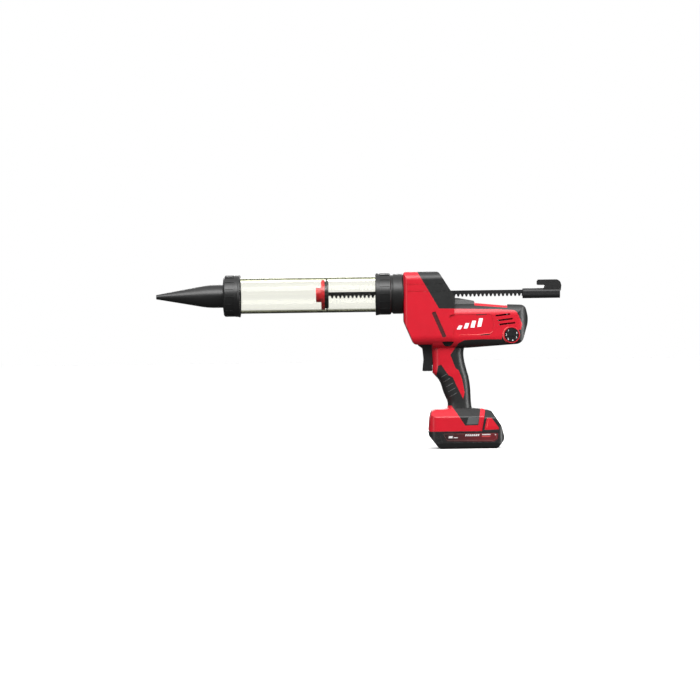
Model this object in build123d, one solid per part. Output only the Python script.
"""Battery caulking gun for 400 ml foil packs, built as separate pieces.

Frame, in millimetres: +X to the rear, the nozzle points to -X, +Z up, the plane Y = 0 splits the tool
into its left (-Y) and right (+Y) halves. The origin is the centre of the battery pack's underside.
"""

from build123d import *
import math
import os

os.makedirs("parts", exist_ok=True)

# ---------------------------------------------------------------- driving dimensions
WALL = 2.8  # housing wall, overmoulding included
SKIN = 1.2  # soft overmoulding
HEAD_HALF_WIDTH = 33.0
MOTOR_HALF_WIDTH = 31.0
FOOT_HALF_WIDTH = 36.0
PACK_HALF_WIDTH = 38.0

TUBE_Z = 239.5  # axis of barrel, caps and nozzle
TUBE_R = 27.5
TUBE_BORE_R = 25.5
CAP_THREAD_GAP = 0.08

RACK_PITCH_Z = 235.5
RACK_TOP_Z = 243.3
RACK_MODULE = 2.0
RACK_PITCH = math.pi * RACK_MODULE
RACK_HALF_WIDTH = 4.75
RACK_FRONT_X = -209.0
RACK_REAR_X = 102.6

PINION_TEETH = 12
PINION_X = -62.0
PINION_Z = RACK_PITCH_Z - RACK_MODULE * PINION_TEETH / 2
MOTOR_Z = 189.0

SPUR_MODULE = 1.5
SPUR_SMALL_TEETH = 16
SPUR_LARGE_TEETH = 30

BEVEL_MODULE = 1.1
BEVEL_SMALL_TEETH = 10
BEVEL_LARGE_TEETH = 30
BEVEL_SMALL_R = BEVEL_MODULE * BEVEL_SMALL_TEETH / 2
BEVEL_LARGE_R = BEVEL_MODULE * BEVEL_LARGE_TEETH / 2

EPI_MODULE = 0.6
SUN_TEETH = 12
PLANET_TEETH = 24
RING_TEETH = 60
PLANET_ORBIT = EPI_MODULE * (SUN_TEETH + PLANET_TEETH) / 2
PLANET_ANGLES = (0, 120, 240)
PLANET_PIN_R = 2.0
RUNNING_GAP = 0.05

CELL_R = 9.0
CELL_LENGTH = 65.0
CELL_PITCH = 18.3
CELL_FIRST_X = -34.0
CELL_Z = 12.6

DIAL_X = 71.1
DIAL_Z = 173.5
DIAL_R = 10.2

PRESSURE_ANGLE = math.radians(20)


# ---------------------------------------------------------------- shape helpers
def save(name, shape):
    """Write one named piece."""
    shape.label = name
    export_step(shape, f"parts/{name}.step")


def rod_x(x0, x1, radius, y=0.0, z=0.0):
    """Cylinder lying along X."""
    return Pos((x0 + x1) / 2, y, z) * Rot(0, 90, 0) * Cylinder(radius, x1 - x0)


def ring_x(x0, x1, outer, inner, y=0.0, z=0.0):
    """Hollow cylinder lying along X."""
    return rod_x(x0, x1, outer, y, z) - rod_x(x0 - 1, x1 + 1, inner, y, z)


def rod_y(y0, y1, radius, x, z):
    """Cylinder lying along Y."""
    return Pos(x, (y0 + y1) / 2, z) * Rot(90, 0, 0) * Cylinder(radius, y1 - y0)


def block(x0, x1, y0, y1, z0, z1):
    """Box between two corners."""
    return Pos((x0 + x1) / 2, (y0 + y1) / 2, (z0 + z1) / 2) * Box(x1 - x0, y1 - y0, z1 - z0)


def fuse(shapes):
    """Union of a list of shapes."""
    whole = shapes[0]
    for shape in shapes[1:]:
        whole = whole + shape
    return whole


def left_and_right(shape):
    """The two halves of a shape either side of the plane Y = 0."""
    left = shape & block(-600, 300, -80, 0, -10, 320)
    right = shape & block(-600, 300, 0, 80, -10, 320)
    return left, right


def inset_corners(corners, inset):
    """Move every side of a counter-clockwise polygon inwards and adjust its corner radii."""
    count = len(corners)
    moved = []
    for i in range(count):
        ax, ay, _ = corners[i - 1]
        bx, by, radius = corners[i]
        cx, cy, _ = corners[(i + 1) % count]
        ux, uy = bx - ax, by - ay
        vx, vy = cx - bx, cy - by
        u_len, v_len = math.hypot(ux, uy), math.hypot(vx, vy)
        ux, uy, vx, vy = ux / u_len, uy / u_len, vx / v_len, vy / v_len
        turn = ux * vy - uy * vx
        p = (bx - uy * inset, by + ux * inset)
        q = (bx - vy * inset, by + vx * inset)
        step = ((q[0] - p[0]) * vy - (q[1] - p[1]) * vx) / turn
        new_radius = radius - inset if turn > 0 else radius + inset
        moved.append((p[0] + ux * step, p[1] + uy * step, max(new_radius, 0.2)))
    return moved


def rounded_face(corners, inset=0.0):
    """Flat face from (u, v, radius) corners listed counter-clockwise."""
    corners = inset_corners(corners, inset)
    count = len(corners)
    arcs = []
    for i in range(count):
        px, py, _ = corners[i - 1]
        cx, cy, radius = corners[i]
        qx, qy, _ = corners[(i + 1) % count]
        to_p = (Vector(px, py) - Vector(cx, cy)).normalized()
        to_q = (Vector(qx, qy) - Vector(cx, cy)).normalized()
        half = math.acos(max(-1.0, min(1.0, to_p.dot(to_q)))) / 2
        reach = radius / math.tan(half)
        middle = (to_p + to_q).normalized() * (radius / math.sin(half) - radius)
        corner = Vector(cx, cy)
        arcs.append((corner + to_p * reach, corner + middle, corner + to_q * reach))
    edges = []
    for i in range(count):
        edges.append(Line(arcs[i - 1][2], arcs[i][0]))
        edges.append(ThreePointArc(*arcs[i]))
    return make_face(edges)


def side_prism(corners, half_width, inset=0.0):
    """Outline in the XZ plane, extruded both ways along Y."""
    return extrude(Plane.XZ * rounded_face(corners, inset), half_width - inset, both=True)


def front_prism(corners, x0, x1, inset=0.0):
    """Outline in the YZ plane, extruded from x0 to x1."""
    return Pos(x0, 0, 0) * extrude(Plane.YZ * rounded_face(corners, inset), x1 - x0)


def top_prism(corners, z0, z1, inset=0.0):
    """Outline in the XY plane, extruded from z0 to z1."""
    return Pos(0, 0, z0) * extrude(Plane.XY * rounded_face(corners, inset), z1 - z0)


def polygon_prism(points, y0, y1):
    """Straight-sided outline in the XZ plane between two Y planes."""
    face = make_face(Polyline(*points, close=True))
    return Pos(0, y1, 0) * extrude(Plane.XZ * face, y1 - y0)


def revolve_x(points, z=TUBE_Z):
    """Turned piece: (x, radius) points revolved about the X direction."""
    face = make_face(Polyline(*[(x, radius) for x, radius in points], close=True))
    return Pos(0, 0, z) * revolve(Plane.XZ * face, Axis.X)


# ---------------------------------------------------------------- gears
def involute(angle):
    return math.tan(angle) - angle


def gear_points(module, teeth, start, thinning, addendum=1.0, dedendum=1.25, waist=0.8):
    """Closed outline of a spur gear, with one tooth centred on the angle start in degrees."""
    pitch_r = module * teeth / 2
    base_r = pitch_r * math.cos(PRESSURE_ANGLE)
    tip_r = pitch_r + addendum * module
    root_r = pitch_r - dedendum * module
    half = math.pi / (2 * teeth) - thinning / (2 * pitch_r)
    flank = []
    low_r = max(base_r * 1.001, root_r)
    if root_r < base_r:
        at_base = half + involute(PRESSURE_ANGLE)
        flank.append((root_r, at_base * waist))
    for step in range(4):
        r = low_r + (tip_r - low_r) * step / 3
        flank.append((r, half + involute(PRESSURE_ANGLE) - involute(math.acos(base_r / r))))
    points = []
    for tooth in range(teeth):
        centre = math.radians(start) + 2 * math.pi * tooth / teeth
        for r, angle in flank:
            points.append((r * math.cos(centre - angle), r * math.sin(centre - angle)))
        for r, angle in reversed(flank):
            points.append((r * math.cos(centre + angle), r * math.sin(centre + angle)))
    return points


def gear_x(points, x0, x1, y, z):
    """Gear with its axis along X; the outline's plane is YZ."""
    face = make_face(Polyline(*points, close=True))
    return Pos(x0, y, z) * extrude(Plane.YZ * face, x1 - x0)


def gear_y(points, y0, y1, x, z):
    """Gear with its axis along Y; the outline's plane is XZ."""
    face = make_face(Polyline(*points, close=True))
    return Pos(x, y1, z) * extrude(Plane.XZ * face, y1 - y0)


def bevel_points(teeth, mate_teeth, start, thinning):
    """Straight bevel gear outline in the plane of its large pitch circle, by the back-cone rule."""
    cone = math.atan2(teeth, mate_teeth)
    pitch_r = BEVEL_MODULE * teeth / 2
    cone_length = pitch_r / math.sin(cone)
    plane = cone_length * math.cos(cone)
    virtual_r = pitch_r / math.cos(cone)
    base_r = virtual_r * math.cos(PRESSURE_ANGLE)
    tip_r = virtual_r + 0.85 * BEVEL_MODULE
    root_r = virtual_r - 1.15 * BEVEL_MODULE
    half = BEVEL_MODULE * math.pi / 4 / virtual_r - thinning / (2 * virtual_r)
    flank = []
    low_r = max(base_r * 1.001, root_r)
    if root_r < base_r:
        flank.append((root_r, (half + involute(PRESSURE_ANGLE)) * 0.7))
    for step in range(3):
        r = low_r + (tip_r - low_r) * step / 2
        flank.append((r, half + involute(PRESSURE_ANGLE) - involute(math.acos(base_r / r))))
    points = []
    for tooth in range(teeth):
        centre = math.radians(start) + 2 * math.pi * tooth / teeth
        sides = [(r, -a) for r, a in flank] + [(r, a) for r, a in reversed(flank)]
        for r, a in sides:
            angle = centre + a / math.cos(cone)
            height = cone_length / math.cos(cone) - r * math.sin(cone)
            reach = r * math.cos(cone) * plane / height
            points.append((reach * math.cos(angle), reach * math.sin(angle)))
    return points


# ---------------------------------------------------------------- tool body outlines
# corners as (X, Z, radius), counter-clockwise
HEAD_SIDE = [
    (-78.0, 160.5, 8),
    (-20.0, 160.5, 3),
    (-14.8, 232.0, 4),
    (-40.0, 272.4, 7),
    (-93.6, 272.8, 4),
    (-93.6, 197.0, 14),
]
HEAD_FRONT = [(-33, 158, 16), (33, 158, 16), (33, 272.6, 13), (-33, 272.6, 13)]
HEAD_TOP = [(-93.6, -33, 7), (-8, -33, 1), (-8, 33, 1), (-93.6, 33, 7)]
MOTOR_SIDE = [
    (-50.0, 154.4, 3),
    (4.0, 154.6, 3),
    (87.0, 160.0, 13),
    (98.4, 197.0, 30),
    (92.5, 219.6, 10),
    (65.5, 220.7, 1.2),
    (64.4, 218.5, 0.6),
    (16.0, 223.4, 3),
    (-50.0, 223.4, 3),
]
MOTOR_FRONT = [(-31, 154, 18), (31, 154, 18), (31, 224, 20), (-31, 224, 20)]
MOTOR_TOP = [(-60, -31, 3), (97.5, -31, 20), (97.5, 31, 20), (-60, 31, 3)]
SADDLE_SIDE = [(-50, 214, 2), (20, 214, 2), (14.5, 226.9, 3), (-9.8, 231.6, 3), (-50, 231.6, 2)]
SADDLE_FRONT = [(-26, 205, 3), (26, 205, 3), (16, 231.6, 6), (-16, 231.6, 6)]
FOOT_SIDE = [
    (-57.3, 27.0, 2),
    (23.6, 27.0, 0.6),
    (29.2, 60.2, 2),
    (8.0, 62.4, 4),
    (-52.0, 60.0, 7),
    (-55.4, 48.0, 8),
]
FOOT_FRONT = [(-36, 26, 1), (36, 26, 1), (36, 49, 4), (23, 62.6, 5), (-23, 62.6, 5), (-36, 49, 4)]
FOOT_TOP = [(-57.6, -36, 12), (40, -36, 3), (40, 36, 3), (-57.6, 36, 12)]

# grip sections: height, front X, back X, half width
GRIP_SECTIONS = [
    (40.0, -30.5, 10.5, 18.5),
    (62.0, -28.6, 9.6, 17.6),
    (76.0, -28.9, 8.3, 17.0),
    (92.0, -35.2, 7.7, 17.0),
    (107.0, -41.2, 5.9, 17.4),
    (117.5, -50.2, 3.3, 18.0),
    (134.0, -50.6, -0.9, 18.4),
    (145.0, -51.2, -2.2, 18.9),
    (152.0, -51.6, -1.6, 19.2),
    (159.0, -52.0, 0.6, 19.8),
    (168.0, -52.4, 4.0, 20.4),
]
GRIP_CORNER = 14.0

PACK_SIDE = [
    (-41.5, 0.0, 7),
    (47.5, 0.0, 9),
    (58.6, 14.5, 11),
    (53.6, 34.5, 16),
    (38.6, 57.4, 4),
    (29.8, 60.0, 1.5),
    (24.2, 26.7, 0.6),
    (-57.4, 26.7, 1),
    (-56.0, 18.5, 8),
]
PACK_FRONT = [
    (-35, 0, 6),
    (35, 0, 6),
    (38, 9, 6),
    (38, 26, 4),
    (36.4, 47, 5),
    (24, 60.2, 5),
    (-24, 60.2, 5),
    (-36.4, 47, 5),
    (-38, 26, 4),
    (-38, 9, 6),
]
PACK_TOP = [(-57.6, -38, 13), (59, -38, 13), (59, 38, 13), (-57.6, 38, 13)]
PACK_GROOVES = 3  # shallow finger grooves low at the front of each side of the pack
PACK_GROOVE_X = -46.5
PACK_GROOVE_STEP = 2.6
PACK_GROOVE_WIDTH = 1.1
PACK_GROOVE_DEPTH = 0.7


def head_form(inset):
    side = side_prism(HEAD_SIDE, HEAD_HALF_WIDTH, inset)
    return side & front_prism(HEAD_FRONT, -120, 20, inset) & top_prism(HEAD_TOP, 140, 290, inset)


def motor_form(inset):
    side = side_prism(MOTOR_SIDE, MOTOR_HALF_WIDTH, inset)
    return side & front_prism(MOTOR_FRONT, -80, 120, inset) & top_prism(MOTOR_TOP, 140, 240, inset)


def saddle_form(inset):
    side = side_prism(SADDLE_SIDE, HEAD_HALF_WIDTH, inset)
    return side & front_prism(SADDLE_FRONT, -80, 60, inset)


def grip_form(inset):
    sections = []
    for height, front, back, half_width in GRIP_SECTIONS:
        length = back - front - 2 * inset
        width = 2 * (half_width - inset)
        centre = (front + back) / 2
        section = RectangleRounded(length, width, GRIP_CORNER - inset)
        sections.append(Pos(centre, 0, height) * section)
    return loft(sections)


def foot_form(inset):
    side = side_prism(FOOT_SIDE, FOOT_HALF_WIDTH, inset)
    return side & front_prism(FOOT_FRONT, -80, 60, inset) & top_prism(FOOT_TOP, 10, 80, inset)


def body_form(inset):
    """Whole outer form of the tool, moved inwards by inset."""
    forms = [head_form(inset), motor_form(inset), saddle_form(inset), grip_form(inset), foot_form(inset)]
    return fuse(forms)


def pack_form(inset):
    side = side_prism(PACK_SIDE, PACK_HALF_WIDTH, inset)
    return side & front_prism(PACK_FRONT, -80, 80, inset) & top_prism(PACK_TOP, -5, 70, inset)


# ---------------------------------------------------------------- which areas stay hard plastic
RED_BODY = [
    (-130, 300),
    (-88.4, 300),
    (-39.8, 215.5),
    (50.8, 213.2),
    (75.8, 211.4),
    (79.6, 208.6),
    (88.0, 190.0),
    (85.4, 181.5),
    (58.8, 181.5),
    (55.6, 167.0),
    (24.0, 167.5),
    (-1.8, 166.5),
    (-10.9, 161.4),
    (-22.8, 144.2),
    (-15.3, 123.6),
    (-10.5, 120.4),
    (-5.3, 106.9),
    (-1.6, 86.0),
    (-4.0, 76.2),
    (-14.1, 97.6),
    (-19.5, 109.6),
    (-26.0, 113.0),
    (-37.3, 129.5),
    (-41.8, 127.6),
    (-44.6, 113.0),
    (-130, 113.0),
]
RED_FOOT = [
    (-80, 20),
    (40, 20),
    (40, 66),
    (22.6, 66),
    (17.8, 36),
    (-2.3, 35.7),
    (-12.0, 50.7),
    (-22.1, 66),
    (-80, 66),
]
RED_RIDGE = [(15.0, 219.6), (64.9, 215.4), (64.9, 232), (15.0, 232)]

# openings in the housing
TRIGGER_HALF_WIDTH = 9.0
TRIGGER_SLOT = 9.6
TRIGGER_RECESS_TOP = 162.0
LOCK_OUTLINE = [(-35.6, 164.2, 0.8), (-31.4, 157.6, 5), (-22.6, 157.6, 5), (-17.4, 164.2, 0.8)]
LOCK_GAP = 0.4
LOCK_COLLAR_TOP = 164.5
VENTS = [((47.0, 203.2), (69.0, 205.6)), ((49.9, 195.9), (73.2, 198.5)), ((52.2, 189.6), (76.8, 192.2))]
VENT_WIDTH = 2.4
SIDE_PANEL = [
    (-12.0, 173.0, 5),
    (40.0, 173.0, 5),
    (45.0, 190.0, 8),
    (41.5, 206.0, 5),
    (-27.0, 206.0, 5),
]
SIDE_PANEL_DEPTH = 0.6
HEAD_GROOVES = (268.0, 253.0, 242.0)
SCREWS = [
    (-36.5, 250.5),
    (-30.0, 222.5),
    (20.0, 213.4),
    (84.5, 204.0),
    (-7.5, 149.5),
    (-3.0, 84.0),
    (-47.5, 51.0),
    (14.0, 52.0),
]
BOSS_R = 3.6
SCREW_R = 1.5
SCREW_HEAD_R = 3.0
SCREW_HEAD_DEPTH = 2.0
PACK_CHANNEL_HALF_WIDTH = 20.0
PACK_CHANNEL_TOP = 43.0


def screw_seat(x, z):
    """Y of the flat the screw head sits on, just inside the right-hand wall."""
    if z > 225:
        return 26.0
    if z > 153:
        return 24.0
    if z > 60:
        return 12.0
    return 18.0


def slanted_slot(start, end, width, y0, y1):
    """Straight slot in the XZ plane from start to end, cut between two Y planes."""
    dx, dz = end[0] - start[0], end[1] - start[1]
    length = math.hypot(dx, dz)
    tilt = -math.degrees(math.atan2(dz, dx))
    centre = Pos((start[0] + end[0]) / 2, (y0 + y1) / 2, (start[1] + end[1]) / 2)
    return centre * Rot(0, tilt, 0) * Box(length, y1 - y0, width)


def motor_rib(hollow, x0, x1, bore_r):
    """Rib across the motor housing that holds a round piece of radius bore_r."""
    slab = hollow & block(x0, x1, -40, 40, 165, 222)
    return slab - rod_x(x0 - 1, x1 + 1, bore_r, 0, MOTOR_Z)


def housing_cuts():
    """Everything that is cut through the walls of the body."""
    cuts = [
        rod_x(-100, -86, 21.0, 0, TUBE_Z),
        block(-100, 20, -5.6, 5.6, 231.2, 244.2),
        block(-60, -43, -TRIGGER_SLOT, TRIGGER_SLOT, 118.8, 160.2),
        block(-82, -43, -TRIGGER_SLOT, TRIGGER_SLOT, 159.0, TRIGGER_RECESS_TOP),
        side_prism(LOCK_OUTLINE, 60, -LOCK_GAP),
        rod_y(-45, -26.4, DIAL_R + 0.8, DIAL_X, DIAL_Z),
        rod_y(-45, 0, 3.4, DIAL_X, DIAL_Z) & block(60, 80, -45, -20, 160, 190),
        block(-44, 60, -PACK_CHANNEL_HALF_WIDTH, PACK_CHANNEL_HALF_WIDTH, 20, PACK_CHANNEL_TOP),
    ]
    for start, end in VENTS:
        cuts.append(slanted_slot(start, end, VENT_WIDTH, -45, -20))
        cuts.append(slanted_slot(start, end, VENT_WIDTH, 20, 45))
    for x, z in SCREWS:
        seat = screw_seat(x, z)
        cuts.append(rod_y(-12, 50, SCREW_R, x, z))
        cuts.append(rod_y(seat, 50, SCREW_HEAD_R + 0.2, x, z))
    for corner in ((17, 17), (-17, 17), (17, -17), (-17, -17)):
        cuts.append(rod_x(-100, -84, 2.0, corner[0], TUBE_Z + corner[1]))
    return fuse(cuts)


def surface_grooves():
    """Shallow lines and the recessed panel on both sides of the body."""
    cuts = []
    for z in HEAD_GROOVES:
        right_end = -40 + (272.4 - z) * 0.62 - 2.0
        for side in (-1, 1):
            y0, y1 = sorted((side * (HEAD_HALF_WIDTH - 0.7), side * 40))
            cuts.append(block(-94.5, right_end, y0, y1, z - 0.6, z + 0.6))
    for side in (-1, 1):
        y0, y1 = sorted((side * (MOTOR_HALF_WIDTH - SIDE_PANEL_DEPTH), side * 40))
        panel = Plane.XZ * rounded_face(SIDE_PANEL)
        cuts.append(Pos(0, y1, 0) * extrude(panel, y1 - y0))
        y0, y1 = sorted((side * (HEAD_HALF_WIDTH - 1.0), side * 40))
        cuts.append(slanted_slot((-48.2, 210.2), (-31.6, 171.4), 6.2, y0, y1))
    return fuse(cuts)


def make_housing():
    """Two hard shells with internal ribs and bosses, and two soft overmoulded skins."""
    outer = body_form(0)
    under_skin = body_form(SKIN)
    hollow = body_form(WALL)
    red = fuse([polygon_prism(p, -60, 60) for p in (RED_BODY, RED_FOOT, RED_RIDGE)])
    cuts = housing_cuts()
    outer = outer - surface_grooves()
    skin = outer - under_skin - red - cuts
    inside = [
        motor_rib(hollow, 8, 10, 19.05),
        motor_rib(hollow, 36, 38, 19.05),
        motor_rib(hollow, -24, -22, 21.05),
        hollow & block(66.5, 100, -1.2, 1.2, 160, 216),
    ]
    bosses = [rod_y(-60, 60, BOSS_R, x, z) for x, z in SCREWS]
    inside.append(hollow & fuse(bosses))
    inside.append(block(-44, -14, -16.5, 16.5, 120.4, 122.4) & hollow)
    walls = outer - hollow
    shell = walls + fuse(inside)
    shell = shell - skin - cuts
    return left_and_right(shell), left_and_right(skin)


# ---------------------------------------------------------------- barrel group
CAP_FRONT_X = -371.5
CAP_REAR_X = -345.0
REAR_CAP_FRONT_X = -136.5
REAR_CAP_REAR_X = -112.5
TUBE_FRONT_X = -364.0
TUBE_REAR_X = -122.0
CAP_RIDGES = 16
RIDGE_WIDTH = 1.6
POCKET_DEPTH = 0.8


def grip_pockets(x0, x1, radius, phase):
    """Shallow pockets round a cap, parted by narrow ridges."""
    band = ring_x(x0, x1, radius + 5, radius - POCKET_DEPTH, 0, TUBE_Z)
    for i in range(CAP_RIDGES):
        turn = Pos(0, 0, TUBE_Z) * Rot(phase + 360 * i / CAP_RIDGES, 0, 0)
        band = band - turn * block(x0 - 1, x1 + 1, -RIDGE_WIDTH / 2, RIDGE_WIDTH / 2, 20, 60)
    return band


def make_nozzle():
    """Hollow cone with a flange that the front cap clamps on the tube."""
    outline = [
        (-475.0, 2.2),
        (-475.0, 3.45),
        (-403.0, 16.3),
        (-396.0, 17.2),
        (-387.0, 17.75),
        (-367.3, 17.8),
        (-367.3, 26.6),
        (-364.2, 26.6),
        (-364.2, 24.0),
        (-366.0, 24.0),
        (-372.0, 16.0),
        (-390.0, 15.9),
        (-400.0, 15.0),
        (-461.0, 2.9),
        (-463.0, 2.2),
    ]
    return revolve_x(outline)


def make_front_cap():
    outline = [
        (CAP_FRONT_X, 10.0),
        (CAP_FRONT_X, 22.0),
        (-370.6, 29.6),
        (-368.4, 31.8),
        (-353.6, 31.8),
        (-351.6, 32.2),
        (-348.4, 32.3),
        (-346.8, 33.0),
        (-345.6, 33.0),
        (CAP_REAR_X, 32.2),
        (CAP_REAR_X, 10.0),
    ]
    cap = revolve_x(outline)
    cap = cap - rod_x(-367.5, -340, TUBE_R + CAP_THREAD_GAP, 0, TUBE_Z)
    cap = cap - rod_x(-380, -360, 18.3, 0, TUBE_Z)
    return cap - grip_pockets(-368.0, -354.2, 31.8, 3.0)


def make_barrel_tube():
    """Clear tube with a clamping flange near its rear end."""
    tube = rod_x(TUBE_FRONT_X, TUBE_REAR_X, TUBE_R, 0, TUBE_Z)
    tube = tube + rod_x(-126.0, TUBE_REAR_X, 29.2, 0, TUBE_Z)
    return tube - rod_x(-370, -110, TUBE_BORE_R, 0, TUBE_Z)


def make_rear_cap():
    outline = [
        (REAR_CAP_FRONT_X, 10.0),
        (REAR_CAP_FRONT_X, 32.2),
        (-135.8, 32.9),
        (-132.6, 32.4),
        (-130.4, 31.9),
        (-114.0, 31.9),
        (REAR_CAP_REAR_X, 30.4),
        (REAR_CAP_REAR_X, 10.0),
    ]
    cap = revolve_x(outline)
    cap = cap - rod_x(-140, -126, TUBE_R + CAP_THREAD_GAP, 0, TUBE_Z)
    cap = cap - rod_x(-126.3, -121.7, 29.3, 0, TUBE_Z)
    cap = cap - rod_x(-123, -100, 25.08, 0, TUBE_Z)
    return cap - grip_pockets(-130.0, -114.6, 31.9, 1.0)


def make_coupling_ring():
    """Metal ring bolted to the front of the housing, with the spigot that the rear cap screws on."""
    outline = [
        (-121.4, 10.0),
        (-121.4, 25.0),
        (-112.2, 25.0),
        (-112.2, 29.2),
        (-110.6, 29.2),
        (-110.6, 29.8),
        (-109.2, 30.8),
        (-95.6, 30.8),
        (-93.6, 30.0),
        (-93.6, 10.0),
    ]
    ring = revolve_x(outline)
    ring = ring - rod_x(-130, -104, 20.0, 0, TUBE_Z)
    ring = ring - rod_x(-130, -90, 9.0, 0, TUBE_Z)
    for y, z in ((17, 17), (-17, 17), (17, -17), (-17, -17)):
        ring = ring - rod_x(-130, -90, 2.0, y, TUBE_Z + z)
        ring = ring - rod_x(-130, -101.0, 4.0, y, TUBE_Z + z)
    return ring


def make_coupling_screws():
    screws = []
    for y, z in ((17, 17), (-17, 17), (17, -17), (-17, -17)):
        head = rod_x(-104.6, -101.0, 3.5, y, TUBE_Z + z)
        socket = rod_x(-105, -102.6, 1.6, y, TUBE_Z + z)
        shank = rod_x(-101.0, -85.0, 2.0, y, TUBE_Z + z)
        screws.append(head + shank - socket)
    return Compound(children=screws)


# ---------------------------------------------------------------- push rod group
PLUNGER_FACE_X = -228.3
SCREW_TIP_X = -196.0
PLUNGER_SCREW_R = 1.4


def make_plunger():
    body = rod_x(PLUNGER_FACE_X, -220.2, 11.2, 0, TUBE_Z)
    body = body + rod_x(-220.2, -214.8, 23.0, 0, TUBE_Z)
    body = body - rod_x(-230, -223.5, 5.4, 0, TUBE_Z)
    return body - rod_x(-230, -210, PLUNGER_SCREW_R, 0, TUBE_Z)


def make_plunger_seal():
    """Flexible backing disc behind the hard face."""
    disc = rod_x(-214.8, RACK_FRONT_X, 20.9, 0, TUBE_Z)
    disc = disc + rod_x(-212.6, -210.8, 24.6, 0, TUBE_Z)
    return disc - rod_x(-230, -200, PLUNGER_SCREW_R, 0, TUBE_Z)


def make_plunger_screw():
    head = rod_x(-227.0, -223.5, 4.5, 0, TUBE_Z)
    shank = rod_x(-223.5, SCREW_TIP_X, PLUNGER_SCREW_R, 0, TUBE_Z)
    cross = block(-228, -225.4, -3, 3, TUBE_Z - 0.6, TUBE_Z + 0.6)
    cross = cross + block(-228, -225.4, -0.6, 0.6, TUBE_Z - 3, TUBE_Z + 3)
    return head + shank - cross


def rack_outline():
    """Bar with trapezoid teeth on its underside; a tooth space is centred over the pinion."""
    tip_z = RACK_PITCH_Z - 0.85 * RACK_MODULE
    root_z = RACK_PITCH_Z + 1.15 * RACK_MODULE
    half = RACK_PITCH / 4 - 0.08
    at_tip = half - (RACK_PITCH_Z - tip_z) * math.tan(PRESSURE_ANGLE)
    at_root = half + (root_z - RACK_PITCH_Z) * math.tan(PRESSURE_ANGLE)
    points = [(RACK_REAR_X, RACK_TOP_Z), (RACK_FRONT_X, RACK_TOP_Z), (RACK_FRONT_X, root_z)]
    first = math.ceil((RACK_FRONT_X - PINION_X) / RACK_PITCH) + 0.5
    centre = PINION_X + first * RACK_PITCH
    while centre + at_root < 88.0:
        points.append((centre - at_root, root_z))
        points.append((centre - at_tip, tip_z))
        points.append((centre + at_tip, tip_z))
        points.append((centre + at_root, root_z))
        centre += RACK_PITCH
    points.append((89.5, root_z))
    points.append((89.5, tip_z))
    points.append((RACK_REAR_X, tip_z))
    return points


def make_rack():
    bar = polygon_prism(rack_outline(), -RACK_HALF_WIDTH, RACK_HALF_WIDTH)
    bar = bar - rod_x(-215, SCREW_TIP_X, PLUNGER_SCREW_R, 0, TUBE_Z)
    return bar - rod_y(-10, 10, 2.0, 97.0, 238.6)


HANDLE_SECTION = [(-8.0, 230.0, 5.5), (8.0, 230.0, 5.5), (8.0, 245.3, 5.5), (-8.0, 245.3, 5.5)]
HANDLE_FRONT_X = 90.8
HANDLE_REAR_X = 148.0
HOOK_SIDE = [
    (122.6, 240.0, 0.4),
    (149.0, 240.0, 2.5),
    (150.3, 249.0, 6),
    (147.8, 258.4, 8),
    (113.0, 258.4, 2.0),
    (113.0, 250.4, 2.0),
    (125.9, 250.2, 1.2),
    (122.6, 245.3, 0.4),
]
HOOK_HALF_WIDTH = 7.3


def make_rod_handle():
    """Rounded bar on the rear end of the rack, with a hanging hook on top."""
    bar = front_prism(HANDLE_SECTION, HANDLE_FRONT_X, HANDLE_REAR_X)
    handle = bar + side_prism(HOOK_SIDE, HOOK_HALF_WIDTH)
    socket = block(85, RACK_REAR_X, -RACK_HALF_WIDTH, RACK_HALF_WIDTH, 233.8, RACK_TOP_Z)
    return handle - socket - rod_y(-10, 10, 2.0, 97.0, 238.6)


# ---------------------------------------------------------------- gear head
GEARCASE_REAR_X = -42.0
BEARING_R = 8.0
GUIDE_HALF_WIDTH = 6.2


def make_gearcase():
    """Cast two-part case round the rack pinion, its gear and the bevel drive."""
    case = head_form(4.5) - head_form(7.0)
    for z in (PINION_Z, MOTOR_Z):
        for side in (-1, 1):
            y0, y1 = sorted((side * 18.8, side * 27.0))
            case = case + rod_y(y0, y1, BEARING_R + 2.5, PINION_X, z)
            y0, y1 = sorted((side * 18.0, side * 23.0))
            case = case - rod_y(y0, y1, BEARING_R, PINION_X, z)
    for y, z in ((17, 17), (-17, 17), (17, -17), (-17, -17)):
        case = case - rod_x(-100, -84, 2.0, y, TUBE_Z + z)
    case = case - block(-100, 20, -6.0, 6.0, 231.0, 244.0)
    case = case & block(-100, GEARCASE_REAR_X, -40, 40, 150, 280)
    return left_and_right(case)


def make_rack_guide():
    """Wear shoe that keeps the rack down on the pinion, standing against the gearcase roof."""
    shoe = block(-84, -44, -GUIDE_HALF_WIDTH, GUIDE_HALF_WIDTH, 238.6, 250.0)
    groove = RACK_HALF_WIDTH + 0.08
    shoe = shoe - block(-90, -40, -groove, groove, 230, RACK_TOP_Z + 0.06)
    post = block(-70, -56, -GUIDE_HALF_WIDTH, GUIDE_HALF_WIDTH, 249.0, 280.0)
    return (shoe + post) & head_form(7.0)


def make_pinion_shaft():
    points = gear_points(RACK_MODULE, PINION_TEETH, 90, 0.16, waist=0.72)
    pinion = gear_y(points, -5.4, 5.4, PINION_X, PINION_Z)
    shaft = rod_y(-22.8, 22.8, 4.0, PINION_X, PINION_Z)
    journal = rod_y(5.4, 18.0, 5.0, PINION_X, PINION_Z) + rod_y(-18.0, -5.4, 5.0, PINION_X, PINION_Z)
    return pinion + shaft + journal


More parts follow.
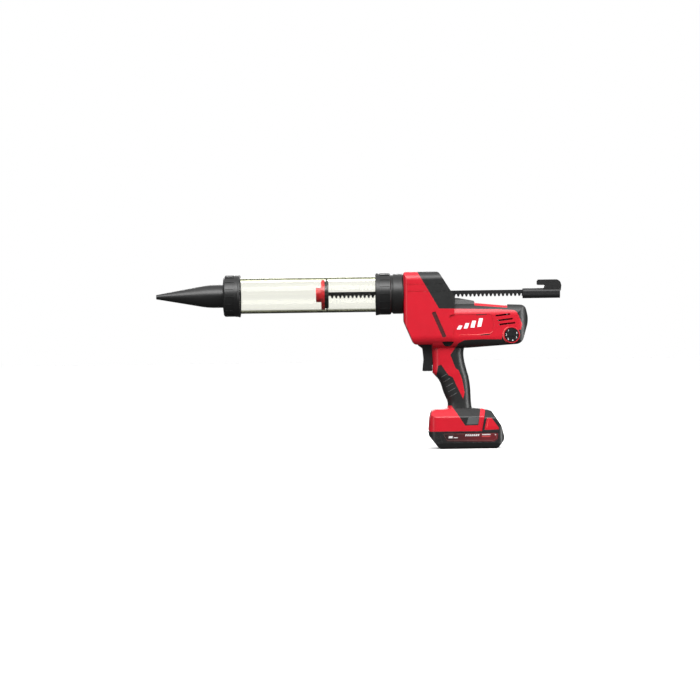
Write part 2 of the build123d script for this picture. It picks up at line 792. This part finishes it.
def make_drive_gear():
    """Large spur gear that runs free on the pinion shaft until the clutch closes."""
    start = -90 + 180 / SPUR_LARGE_TEETH
    points = gear_points(SPUR_MODULE, SPUR_LARGE_TEETH, start, 0.12)
    gear = gear_y(points, 6.6, 12.6, PINION_X, PINION_Z)
    cup = Pos(PINION_X, 11.1, PINION_Z) * Rot(-90, 0, 0) * Cone(12.0, 13.6, 3.2)
    gear = gear - cup
    return gear - rod_y(0, 20, 5.0 + RUNNING_GAP, PINION_X, PINION_Z)


def make_clutch_cone():
    """Sliding clutch half, drawn open."""
    cone = Pos(PINION_X, 12.2, PINION_Z) * Rot(-90, 0, 0) * Cone(12.0, 13.3, 2.6)
    hub = rod_y(13.4, 16.6, 9.5, PINION_X, PINION_Z)
    return cone + hub - rod_y(0, 20, 5.0 + RUNNING_GAP, PINION_X, PINION_Z)


def make_layshaft():
    """Cross shaft with the small spur gear and the large bevel gear."""
    spur_points = gear_points(SPUR_MODULE, SPUR_SMALL_TEETH, 90, 0.12, waist=0.85)
    spur = gear_y(spur_points, 6.4, 12.8, PINION_X, MOTOR_Z)
    shaft = rod_y(-22.8, 22.8, 4.0, PINION_X, MOTOR_Z)
    points = bevel_points(BEVEL_LARGE_TEETH, BEVEL_SMALL_TEETH, 180 / BEVEL_LARGE_TEETH, 0.3)
    inner = 0.68
    small = [(u * inner, v * inner) for u, v in points]
    outer_y = -BEVEL_SMALL_R
    outer_outline = Plane.XZ * make_face(Polyline(*points, close=True))
    inner_outline = Plane.XZ * make_face(Polyline(*small, close=True))
    outer_face = Pos(PINION_X, outer_y, MOTOR_Z) * outer_outline
    inner_face = Pos(PINION_X, outer_y * inner, MOTOR_Z) * inner_outline
    teeth = loft([outer_face, inner_face], ruled=True)
    teeth = teeth & rod_y(-30, 0, BEVEL_LARGE_R + 0.5, PINION_X, MOTOR_Z)
    web = rod_y(-9.5, outer_y, BEVEL_LARGE_R - 3.1, PINION_X, MOTOR_Z)
    hub = rod_y(-18.0, -9.5, 7.0, PINION_X, MOTOR_Z)
    collar = rod_y(12.8, 18.0, 6.0, PINION_X, MOTOR_Z)
    return teeth + web + hub + shaft + spur + collar


def make_shaft_bearings():
    """Four identical sleeve bearings in the gearcase walls."""
    bearings = []
    for z in (PINION_Z, MOTOR_Z):
        for side in (-1, 1):
            y0, y1 = sorted((side * 18.8, side * 23.0))
            outer = rod_y(y0, y1, BEARING_R, PINION_X, z)
            bearings.append(outer - rod_y(y0 - 1, y1 + 1, 4.0 + RUNNING_GAP, PINION_X, z))
    return Compound(children=bearings)


# ---------------------------------------------------------------- planetary gearbox and motor
GEARBOX_FRONT_X = -42.0
GEARBOX_REAR_X = -14.0
GEARBOX_R = 21.0


def planet_centre(angle):
    turn = math.radians(angle)
    return PLANET_ORBIT * math.cos(turn), MOTOR_Z + PLANET_ORBIT * math.sin(turn)


def make_gearbox_case():
    """Ring gear case, closed at the front and open to the motor."""
    case = rod_x(GEARBOX_FRONT_X, GEARBOX_REAR_X, GEARBOX_R, 0, MOTOR_Z)
    half_tooth = 180 / RING_TEETH
    cavity = gear_points(EPI_MODULE, RING_TEETH, half_tooth, -0.08, addendum=1.25, dedendum=0.9)
    case = case - gear_x(cavity, -38.6, GEARBOX_REAR_X + 1, 0, MOTOR_Z)
    case = case - rod_x(-18.4, GEARBOX_REAR_X + 1, 19.2, 0, MOTOR_Z)
    return case - rod_x(-50, -30, 4.0 + RUNNING_GAP, 0, MOTOR_Z)


def carrier_plate(x0, x1, pin_end):
    plate = rod_x(x0, x1, 15.0, 0, MOTOR_Z)
    for angle in PLANET_ANGLES:
        y, z = planet_centre(angle)
        plate = plate + rod_x(x1, pin_end, PLANET_PIN_R, y, z)
    return plate


def sun_gear(x0, x1):
    points = gear_points(EPI_MODULE, SUN_TEETH, 0, 0.06, addendum=0.9, waist=0.75)
    return gear_x(points, x0, x1, 0, MOTOR_Z)


def make_carrier_1():
    """First carrier: turned by its planets, it carries the second sun gear."""
    return carrier_plate(-28.0, -25.5, -18.8) + sun_gear(-34.6, -28.0)


def make_carrier_2():
    """Second carrier with the output shaft and the small bevel gear."""
    carrier = carrier_plate(-38.2, -35.0, -28.8)
    shaft = rod_x(-45.5, -38.2, 4.0, 0, MOTOR_Z)
    points = bevel_points(BEVEL_SMALL_TEETH, BEVEL_LARGE_TEETH, 180, 0.36)
    inner = 0.68
    small = [(u * inner, v * inner) for u, v in points]
    outer_x = PINION_X + BEVEL_LARGE_R
    inner_x = PINION_X + BEVEL_LARGE_R * inner
    outer_face = Pos(outer_x, 0, MOTOR_Z) * (Plane.YZ * make_face(Polyline(*points, close=True)))
    inner_face = Pos(inner_x, 0, MOTOR_Z) * (Plane.YZ * make_face(Polyline(*small, close=True)))
    return carrier + shaft + loft([outer_face, inner_face], ruled=True)


def make_planet(angle, x0, x1):
    y, z = planet_centre(angle)
    start = angle + 180 + 180 / PLANET_TEETH
    points = gear_points(EPI_MODULE, PLANET_TEETH, start, 0.06, addendum=0.9)
    planet = gear_x(points, x0, x1, y, z)
    return planet - rod_x(x0 - 1, x1 + 1, PLANET_PIN_R + RUNNING_GAP, y, z)


def make_motor_can():
    can = rod_x(GEARBOX_REAR_X, 46.0, 19.0, 0, MOTOR_Z)
    can = can - rod_x(-11.5, 47, 17.4, 0, MOTOR_Z)
    magnets = ring_x(-6.0, 32.0, 17.4, 15.0, 0, MOTOR_Z)
    magnets = magnets - block(-10, 40, -4, 4, 160, 220)
    return can + magnets - rod_x(-20, 0, 3.2, 0, MOTOR_Z)


def make_motor_endbell():
    bell = rod_x(46.0, 54.0, 18.6, 0, MOTOR_Z) - rod_x(45, 51, 15.5, 0, MOTOR_Z)
    for side in (-1, 1):
        y0, y1 = sorted((side * 6.5, side * 16.0))
        bell = bell + (block(46.0, 51.0, y0, y1, MOTOR_Z - 3, MOTOR_Z + 3))
    return bell - rod_x(40, 60, 3.2, 0, MOTOR_Z)


ARMATURE_POLES = 5
FAN_R = 18.4


def make_armature():
    """Shaft, laminated poles, commutator and the first sun gear in one turning piece."""
    shaft = rod_x(-17.5, 66.0, 3.0, 0, MOTOR_Z)
    stack = rod_x(-4.0, 30.0, 14.4, 0, MOTOR_Z)
    for pole in range(ARMATURE_POLES):
        turn = Pos(0, 0, MOTOR_Z) * Rot(360 * pole / ARMATURE_POLES, 0, 0)
        slot = block(-5, 31, -1.0, 1.0, 7.0, 16.0) + Pos(13, 0, 8.6) * Rot(0, 90, 0) * Cylinder(3.0, 36)
        stack = stack - turn * slot
    commutator = rod_x(36.0, 45.0, 6.0, 0, MOTOR_Z)
    return shaft + stack + commutator + sun_gear(-25.1, -17.5)


def make_motor_fan():
    """Cooling fan on the rear end of the motor shaft, behind the side vents."""
    fan = rod_x(55.2, 56.8, FAN_R, 0, MOTOR_Z) + rod_x(55.2, 66.0, 6.0, 0, MOTOR_Z)
    for blade in range(11):
        turn = Pos(0, 0, MOTOR_Z) * Rot(360 * blade / 11, 0, 0)
        fan = fan + turn * block(56.8, 66.0, -0.7, 0.7, 5.0, FAN_R)
    return fan - rod_x(50, 70, 3.0, 0, MOTOR_Z)


# ---------------------------------------------------------------- controls
TRIGGER_SIDE = [
    (-65.6, 119.6, 1.5),
    (-50.6, 119.6, 1.0),
    (-50.8, 161.2, 0.8),
    (-74.4, 161.2, 1.2),
    (-65.2, 154.6, 4),
    (-63.6, 138.0, 20),
]
TRIGGER_STEM_X = -43.6
SWITCH_FRONT_X = -42.5
SWITCH_POCKET_X = -33.4


def make_trigger():
    blade = side_prism(TRIGGER_SIDE, TRIGGER_HALF_WIDTH)
    rounding = top_prism([(-76, -9, 6), (-40, -9, 0.5), (-40, 9, 0.5), (-76, 9, 6)], 100, 170)
    stem = block(-51.5, TRIGGER_STEM_X, -5.6, 5.6, 129.0, 145.0)
    return (blade & rounding) + stem


def make_switch_module():
    body = block(SWITCH_FRONT_X, -13.0, -11, 11, 122.4, 151.0)
    body = body - block(SWITCH_FRONT_X - 1, SWITCH_POCKET_X, -6.0, 6.0, 128.6, 145.4)
    fins = [block(-30 + 4 * i, -28 + 4 * i, -11, 11, 149.0, 152) for i in range(4)]
    return body - fuse(fins)


def coil_spring(length, radius, wire, turns):
    """Open coil spring standing on the origin along +Z."""
    path = Helix(pitch=(length - wire) / turns, height=length - wire, radius=radius)
    section = Plane(origin=path @ 0, z_dir=path % 0) * Circle(wire / 2)
    return Pos(0, 0, wire / 2) * sweep(section, path)


def make_trigger_spring():
    """Return spring between the trigger stem and the bottom of the switch pocket."""
    length = SWITCH_POCKET_X - TRIGGER_STEM_X
    return Pos(TRIGGER_STEM_X, 0, 137.0) * Rot(0, 90, 0) * coil_spring(length, 4.0, 0.8, 4)


def make_lock_button():
    """Push-through lock bar above the switch, with a stop collar in its middle."""
    bar = side_prism(LOCK_OUTLINE, 22.0)
    collar = side_prism(inset_corners(LOCK_OUTLINE, -1.3), 9.0)
    collar = collar & block(-50, 0, -10, 10, 150, LOCK_COLLAR_TOP)
    return Pos(0, 1.2, 0) * (bar + collar)


def make_speed_dial():
    knob = rod_y(-31.4, -26.6, DIAL_R, DIAL_X, DIAL_Z)
    shaft = rod_y(-27.0, -21.8, 3.0, DIAL_X, DIAL_Z)
    knob = knob - rod_y(-32, -30.8, 6.6, DIAL_X, DIAL_Z)
    knob = knob + slanted_slot((DIAL_X - 6.4, DIAL_Z), (DIAL_X + 6.4, DIAL_Z), 2.6, -32.0, -30.0)
    for i in range(20):
        turn = Pos(DIAL_X, 0, DIAL_Z) * Rot(0, 18 * i, 0)
        knob = knob - turn * Pos(DIAL_R + 0.15, -29, 0) * Box(0.9, 8, 1.0)
    return knob + shaft


def make_dial_board():
    """Rotary sensor and its circuit board behind the dial."""
    board = block(60.0, 82.0, -20.2, -18.6, 166.0, 182.0)
    sensor = rod_y(-24.0, -20.2, 6.0, DIAL_X, DIAL_Z)
    return board + sensor - rod_y(-30, -21.0, 3.0 + RUNNING_GAP, DIAL_X, DIAL_Z)


# ---------------------------------------------------------------- battery pack
PACK_WALL = 2.0
TRAY_TOP_Z = 9.5
RAIL_HALF_WIDTH = 19.4
RAIL_TOP_Z = 42.4
BLADE_Y = (-12.0, -4.0, 4.0, 12.0)
LATCH_SIDE = [(27.2, 28.6, 1.0), (50.6, 29.4, 1.5), (38.2, 47.0, 2), (31.0, 47.2, 2)]
LATCH_GAP = 0.4
LATCH_FACE_Y = 37.4
LABEL_SIDE = [(-32.4, 11.2, 1), (41.8, 10.3, 2), (48.2, 14.8, 2), (48.2, 24.2, 1), (-38.3, 25.2, 1)]
LABEL_DEPTH = 0.5


def make_pack_shells():
    """Tray with the cells and cover with the slide rail block."""
    shell = pack_form(0) - pack_form(PACK_WALL)
    notches = [block(x - 3, x + 3, -60, -26, -1, 1.0) for x in (-31, 0, 36)]
    notches += [block(x - 3, x + 3, 26, 60, -1, 1.0) for x in (-31, 0, 36)]
    for side in (-1, 1):
        y0, y1 = sorted((side * (PACK_HALF_WIDTH - LABEL_DEPTH), side * 50))
        shell = shell - Pos(0, y1, 0) * extrude(Plane.XZ * rounded_face(LABEL_SIDE), y1 - y0)
    for side in (-1, 1):
        y0, y1 = sorted((side * (PACK_HALF_WIDTH - PACK_GROOVE_DEPTH), side * 50))
        for i in range(PACK_GROOVES):
            x = PACK_GROOVE_X + PACK_GROOVE_STEP * i
            shell = shell - slanted_slot((x, 20.0), (x + 3.4, 11.5), PACK_GROOVE_WIDTH, y0, y1)
    tray = (shell & block(-80, 80, -60, 60, -5, TRAY_TOP_Z)) - fuse(notches)
    cover = shell & block(-80, 80, -60, 60, TRAY_TOP_Z, 80)
    rail = block(-42.0, 26.0, -RAIL_HALF_WIDTH, RAIL_HALF_WIDTH, 24.7, RAIL_TOP_Z)
    hollow = block(-40.0, 30.0, -RAIL_HALF_WIDTH + 2, RAIL_HALF_WIDTH - 2, 20, RAIL_TOP_Z - 2)
    under = pack_form(PACK_WALL) & block(24, 60, -60, 60, 20, 80)
    cover = cover + rail - hollow - under
    for side in (-1, 1):
        y0, y1 = sorted((side * 17.8, side * 25))
        cover = cover - block(-60, 23.0, y0, y1, 30.0, 36.0)
        y0, y1 = sorted((side * 30, side * 50))
        latch_hole = Plane.XZ * rounded_face(LATCH_SIDE, -LATCH_GAP)
        cover = cover - Pos(0, y1, 0) * extrude(latch_hole, y1 - y0)
    for y in BLADE_Y:
        cover = cover - block(-50, -39, y - 1.2, y + 1.2, 29.5, 39.5)
    for side in (-1, 1):
        y0, y1 = sorted((side * 20.0, side * 22.0))
        cover = cover + (block(30, 48, y0, y1, 26, 50) & pack_form(1.0))
    return tray, cover


def make_latch(side):
    """Side release button of the pack, pressed inwards against its spring."""
    y0, y1 = sorted((side * 33.0, side * LATCH_FACE_Y))
    button = Pos(0, y1, 0) * extrude(Plane.XZ * rounded_face(LATCH_SIDE), y1 - y0)
    y0, y1 = sorted((side * 30.6, side * 33.0))
    flange = Pos(0, y1, 0) * extrude(Plane.XZ * rounded_face(LATCH_SIDE, -1.4), y1 - y0)
    button = button & pack_form(0.0)
    return button + (flange & pack_form(PACK_WALL + 0.4))


def make_latch_spring(side):
    spring = coil_spring(30.6 - 22.0, 3.0, 0.7, 4)
    return Pos(38.0, side * 22.0, 37.0) * Rot(-90 * side, 0, 0) * spring


def make_battery_cells():
    cells = []
    for i in range(5):
        x = CELL_FIRST_X + i * CELL_PITCH
        cell = rod_y(-CELL_LENGTH / 2, CELL_LENGTH / 2, CELL_R, x, CELL_Z)
        cells.append(cell + rod_y(CELL_LENGTH / 2, CELL_LENGTH / 2 + 1.0, 4.0, x, CELL_Z))
    return Compound(children=cells)


def make_pack_board():
    """Circuit board on top of the cells with its contact clips for the tool's blades."""
    board = block(-38.0, 22.0, -16.5, 16.5, 22.4, 24.0)
    for y in BLADE_Y:
        for side in (-1, 1):
            y0, y1 = sorted((y + side * 1.0, y + side * 1.6))
            board = board + block(-38.5, -30.5, y0, y1, 24.0, 39.0)
    return board


def make_terminal_block():
    return block(-49.0, -43.6, -18, 18, 30.2, 42.5)


def make_terminal_blades():
    blades = []
    for y in BLADE_Y:
        blades.append(block(-43.6, -32.0, y - 0.4, y + 0.4, 30.5, 38.5))
    return Compound(children=blades)


# ---------------------------------------------------------------- write every piece
def main():
    (housing_left, housing_right), (skin_left, skin_right) = make_housing()
    save("housing_left", housing_left)
    save("housing_right", housing_right)
    save("overmold_left", skin_left)
    save("overmold_right", skin_right)

    screws = []
    for x, z in SCREWS:
        seat = screw_seat(x, z)
        head = rod_y(seat, seat + SCREW_HEAD_DEPTH, SCREW_HEAD_R, x, z)
        socket = rod_y(seat + 0.8, seat + 4, 1.2, x, z)
        screws.append(head + rod_y(-11.5, seat, SCREW_R, x, z) - socket)
    save("housing_screws", Compound(children=screws))

    save("nozzle", make_nozzle())
    save("front_cap", make_front_cap())
    save("barrel_tube", make_barrel_tube())
    save("rear_cap", make_rear_cap())
    save("coupling_ring", make_coupling_ring())
    save("coupling_screws", make_coupling_screws())

    save("plunger", make_plunger())
    save("plunger_seal", make_plunger_seal())
    save("plunger_screw", make_plunger_screw())
    save("rack", make_rack())
    save("rod_handle", make_rod_handle())
    save("handle_pin", rod_y(-7.9, 7.9, 2.0, 97.0, 238.6))

    gearcase_left, gearcase_right = make_gearcase()
    save("gearcase_left", gearcase_left)
    save("gearcase_right", gearcase_right)
    save("rack_guide", make_rack_guide())
    save("pinion_shaft", make_pinion_shaft())
    save("drive_gear", make_drive_gear())
    save("clutch_cone", make_clutch_cone())
    save("layshaft", make_layshaft())
    save("shaft_bearings", make_shaft_bearings())

    save("gearbox_case", make_gearbox_case())
    save("carrier_1", make_carrier_1())
    save("carrier_2", make_carrier_2())
    for number, angle in enumerate(PLANET_ANGLES, start=1):
        save(f"planet_1_{number}", make_planet(angle, -25.1, -19.4))
        save(f"planet_2_{number}", make_planet(angle, -34.6, -28.7))
    save("motor_can", make_motor_can())
    save("motor_endbell", make_motor_endbell())
    save("armature", make_armature())
    save("motor_fan", make_motor_fan())

    save("trigger", make_trigger())
    save("trigger_spring", make_trigger_spring())
    save("switch_module", make_switch_module())
    save("lock_button", make_lock_button())
    save("speed_dial", make_speed_dial())
    save("dial_board", make_dial_board())

    tray, cover = make_pack_shells()
    save("pack_tray", tray)
    save("pack_cover", cover)
    save("latch_left", make_latch(-1))
    save("latch_right", make_latch(1))
    save("latch_spring_left", make_latch_spring(-1))
    save("latch_spring_right", make_latch_spring(1))
    save("battery_cells", make_battery_cells())
    save("pack_board", make_pack_board())
    save("terminal_block", make_terminal_block())
    save("terminal_blades", make_terminal_blades())


main()
